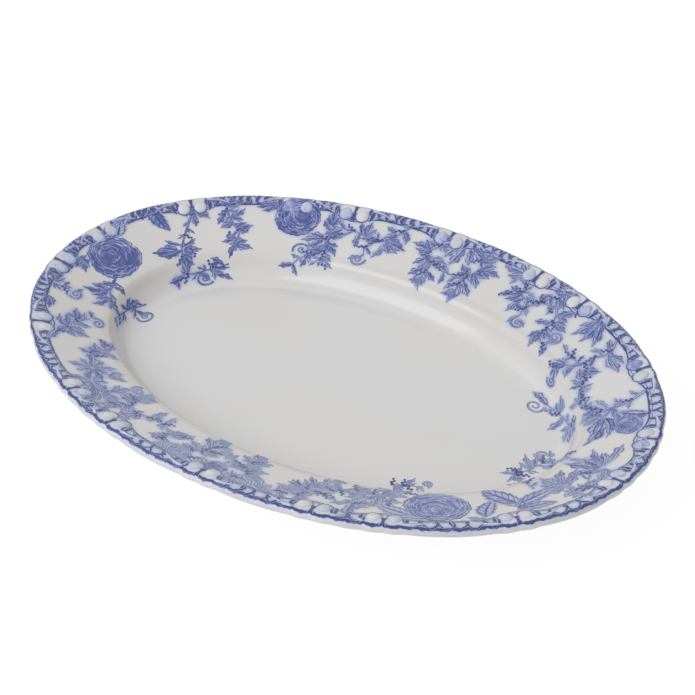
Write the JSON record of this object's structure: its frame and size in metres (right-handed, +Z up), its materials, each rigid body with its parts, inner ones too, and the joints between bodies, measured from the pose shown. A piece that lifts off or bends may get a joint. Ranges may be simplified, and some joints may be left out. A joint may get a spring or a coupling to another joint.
{
  "type": "serving platter",
  "caption": "Oval china serving platter with a flat well, a sloping flange and a lobed, beaded edge, printed with a blue floral border.",
  "frame": {"origin": "centre of the foot ring's flat bearing face, on the plane that the platter rests on", "axes": "+X along the platter's length, +Y across it, +Z up out of the well"},
  "size_m": [0.305, 0.2148, 0.0308],
  "materials": {
    "glazed_china": "clear glossy glaze over a cool white body",
    "relief_china": "clear glossy glaze over moulded relief",
    "blue_print": "cobalt blue transfer print under the glaze",
    "bare_foot": "unglazed ground biscuit"
  },
  "bodies": {
    "root": {"well_floor": "glazed_china", "flange": "glazed_china", "foot_ring": "bare_foot", "edge_moulding": "glazed_china", "edge_beads": "relief_china", "edge_scrolls": "relief_china"}
  },
  "joints": []
}
